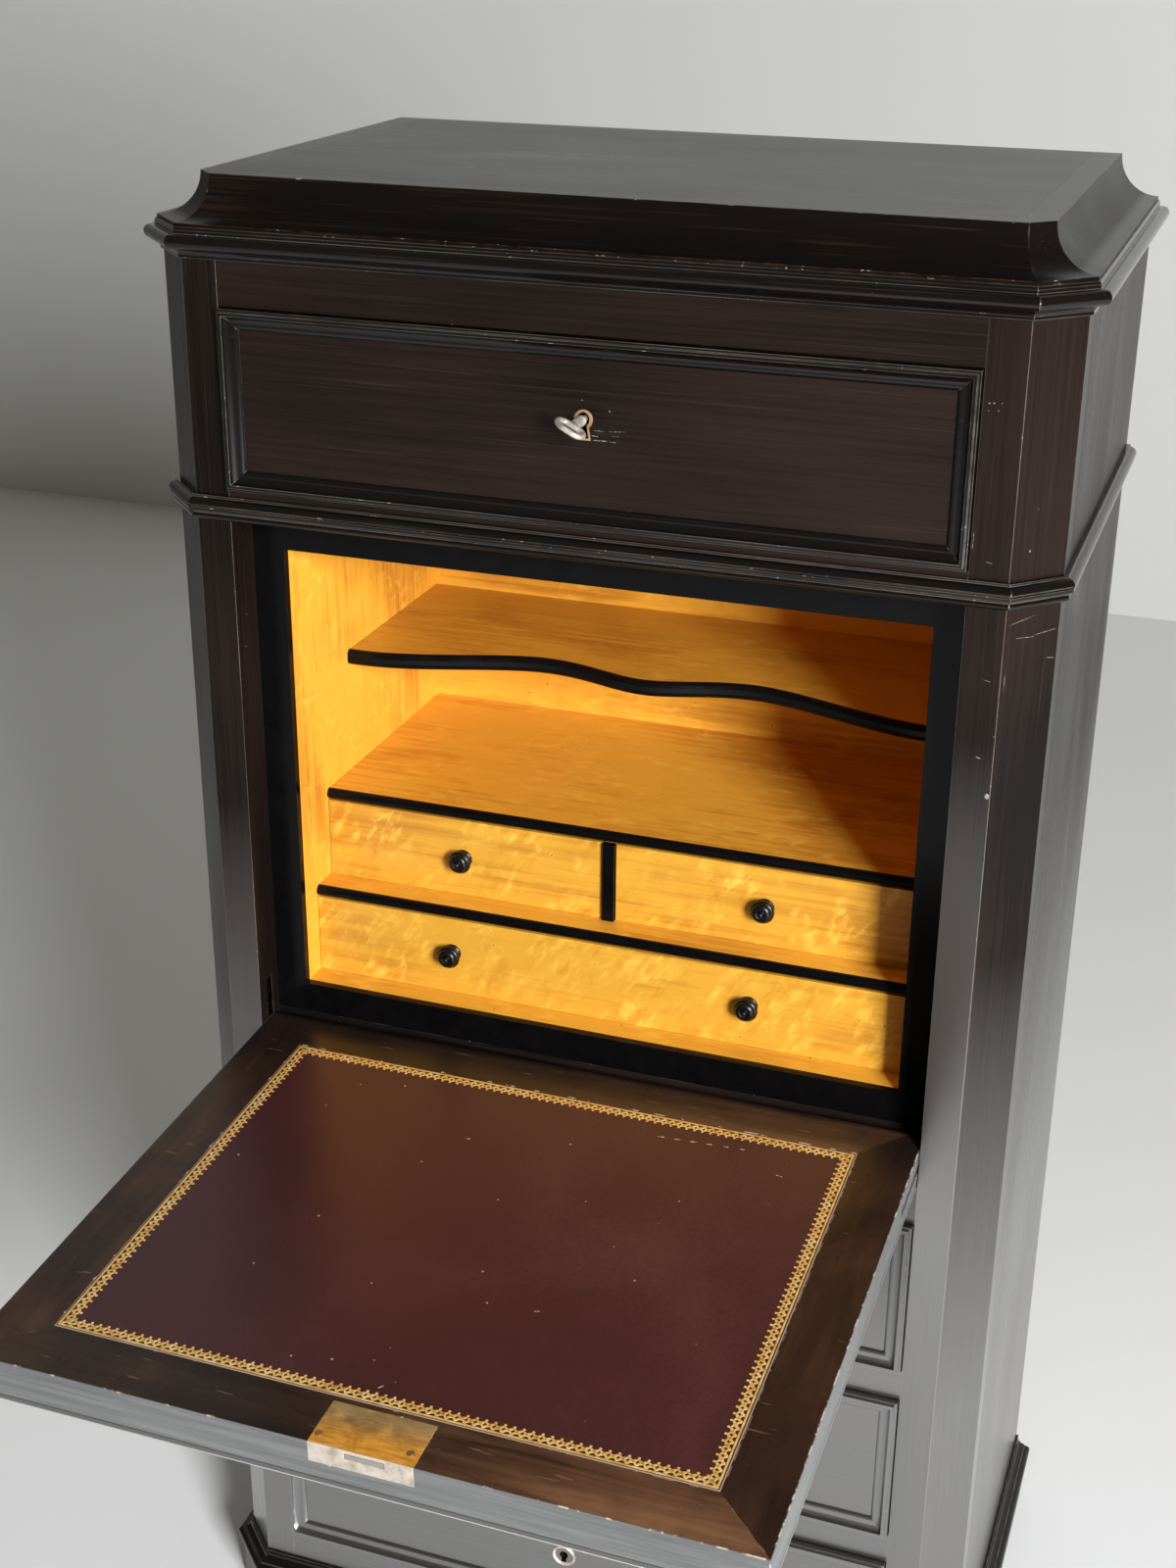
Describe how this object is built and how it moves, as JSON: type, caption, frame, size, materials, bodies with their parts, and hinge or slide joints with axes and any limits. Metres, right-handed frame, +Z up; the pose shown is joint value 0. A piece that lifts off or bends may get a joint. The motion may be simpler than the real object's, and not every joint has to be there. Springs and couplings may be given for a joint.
{
  "type": "fall-front writing desk",
  "caption": "Tall ebonised writing desk with canted corners, hinged leather-lined fall, maple interior with shelves and small drawers, locking drawers above and below",
  "frame": {"origin": "on the floor under the middle of the case's plan, on the underside of the plinth's middle bearer", "axes": "X to the right as one faces the front, Y to the back, Z up; shown with the fall let down"},
  "size_m": [0.814, 0.9636, 1.541],
  "materials": {
    "ebonised_wood": "french polish",
    "maple": "polished",
    "plain_wood": "unpolished",
    "fall_wood": "worn polish",
    "leather": "tooled",
    "brass": "aged",
    "steel": "worn"
  },
  "bodies": {
    "case": {"plinth": "ebonised_wood", "plinth_moulding": "ebonised_wood", "corner_posts": "ebonised_wood", "case_sides": "ebonised_wood", "back_panel": "plain_wood", "bottom_board": "plain_wood", "base_rail": "ebonised_wood", "drawer_rails": "ebonised_wood", "fall_rail": "ebonised_wood", "middle_rail": "ebonised_wood", "frieze_rail": "ebonised_wood", "drawer_runners": "plain_wood", "stop_frame": "ebonised_wood", "string_moulding": "ebonised_wood", "cornice_moulding": "ebonised_wood", "cornice_cavetto": "ebonised_wood", "top_board": "ebonised_wood", "hinge_plates": "brass", "interior_floor": "maple", "interior_ceiling": "maple", "side_linings": "maple", "interior_back": "maple", "serpentine_shelf": "maple", "straight_shelves": "maple", "drawer_divider": "maple", "shelf_lippings": "ebonised_wood"},
    "fall": {"fall_frame": "fall_wood", "fall_panel": "ebonised_wood", "fall_leather": "leather", "fall_moulding": "ebonised_wood", "fall_lock": "brass", "fall_hinges": "brass"},
    "fall_lock_bolt": {"fall_bolt": "steel"},
    "frieze_drawer": {"top_drawer_front": "ebonised_wood", "top_drawer_moulding": "ebonised_wood", "top_drawer_box": "plain_wood", "top_drawer_lock": "brass"},
    "frieze_drawer_bolt": {"top_drawer_bolt": "steel"},
    "key": {"drawer_key": "steel"},
    "case_drawer_1": {"lower_drawer_1_front": "ebonised_wood", "lower_drawer_1_moulding": "ebonised_wood", "lower_drawer_1_box": "plain_wood", "lower_drawer_1_lock": "brass"},
    "case_drawer_1_bolt": {"lower_drawer_1_bolt": "steel"},
    "case_drawer_2": {"lower_drawer_2_front": "ebonised_wood", "lower_drawer_2_moulding": "ebonised_wood", "lower_drawer_2_box": "plain_wood", "lower_drawer_2_lock": "brass"},
    "case_drawer_2_bolt": {"lower_drawer_2_bolt": "steel"},
    "case_drawer_3": {"lower_drawer_3_front": "ebonised_wood", "lower_drawer_3_moulding": "ebonised_wood", "lower_drawer_3_box": "plain_wood", "lower_drawer_3_lock": "brass"},
    "case_drawer_3_bolt": {"lower_drawer_3_bolt": "steel"},
    "left_inner_drawer": {"left_small_drawer": "maple", "left_small_drawer_knobs": "ebonised_wood"},
    "right_inner_drawer": {"right_small_drawer": "maple", "right_small_drawer_knobs": "ebonised_wood"},
    "long_inner_drawer": {"long_small_drawer": "maple", "long_small_drawer_knobs": "ebonised_wood"}
  },
  "joints": [
    {"name": "fall_hinge", "type": "hinge", "parent": "case", "child": "fall", "pos_m": [0, -0.21325, 0.73125], "axis": [1, 0, 0], "range_deg": [-91.9, 0]},
    {"name": "fall_bolt_slide", "type": "slide", "parent": "fall", "child": "fall_lock_bolt", "axis": [0, 0.9995, 0.0332], "range_m": [-0.008, 0]},
    {"name": "frieze_drawer_slide", "type": "slide", "parent": "case", "child": "frieze_drawer", "axis": [0, -1, 0], "range_m": [0, 0.3]},
    {"name": "key_turn", "type": "hinge", "parent": "frieze_drawer", "child": "key", "pos_m": [0.004, -0.232, 1.3715], "axis": [0, 1, 0], "range_deg": [-90, 0]},
    {"name": "frieze_drawer_bolt_slide", "type": "slide", "parent": "frieze_drawer", "child": "frieze_drawer_bolt", "axis": [0, 0, -1], "range_m": [-0.008, 0]},
    {"name": "case_drawer_1_slide", "type": "slide", "parent": "case", "child": "case_drawer_1", "axis": [0, -1, 0], "range_m": [0, 0.3]},
    {"name": "case_drawer_1_bolt_slide", "type": "slide", "parent": "case_drawer_1", "child": "case_drawer_1_bolt", "axis": [0, 0, -1], "range_m": [-0.008, 0]},
    {"name": "case_drawer_2_slide", "type": "slide", "parent": "case", "child": "case_drawer_2", "axis": [0, -1, 0], "range_m": [0, 0.3]},
    {"name": "case_drawer_2_bolt_slide", "type": "slide", "parent": "case_drawer_2", "child": "case_drawer_2_bolt", "axis": [0, 0, -1], "range_m": [-0.008, 0]},
    {"name": "case_drawer_3_slide", "type": "slide", "parent": "case", "child": "case_drawer_3", "axis": [0, -1, 0], "range_m": [0, 0.3]},
    {"name": "case_drawer_3_bolt_slide", "type": "slide", "parent": "case_drawer_3", "child": "case_drawer_3_bolt", "axis": [0, 0, -1], "range_m": [-0.008, 0]},
    {"name": "left_inner_drawer_slide", "type": "slide", "parent": "case", "child": "left_inner_drawer", "axis": [0, -1, 0], "range_m": [0, 0.19]},
    {"name": "right_inner_drawer_slide", "type": "slide", "parent": "case", "child": "right_inner_drawer", "axis": [0, -1, 0], "range_m": [0, 0.19]},
    {"name": "long_inner_drawer_slide", "type": "slide", "parent": "case", "child": "long_inner_drawer", "axis": [0, -1, 0], "range_m": [0, 0.21]}
  ],
  "couplings": [
    {"joint": "frieze_drawer_bolt_slide", "follows": "key_turn", "m_per_rad": 0.00509}
  ]
}
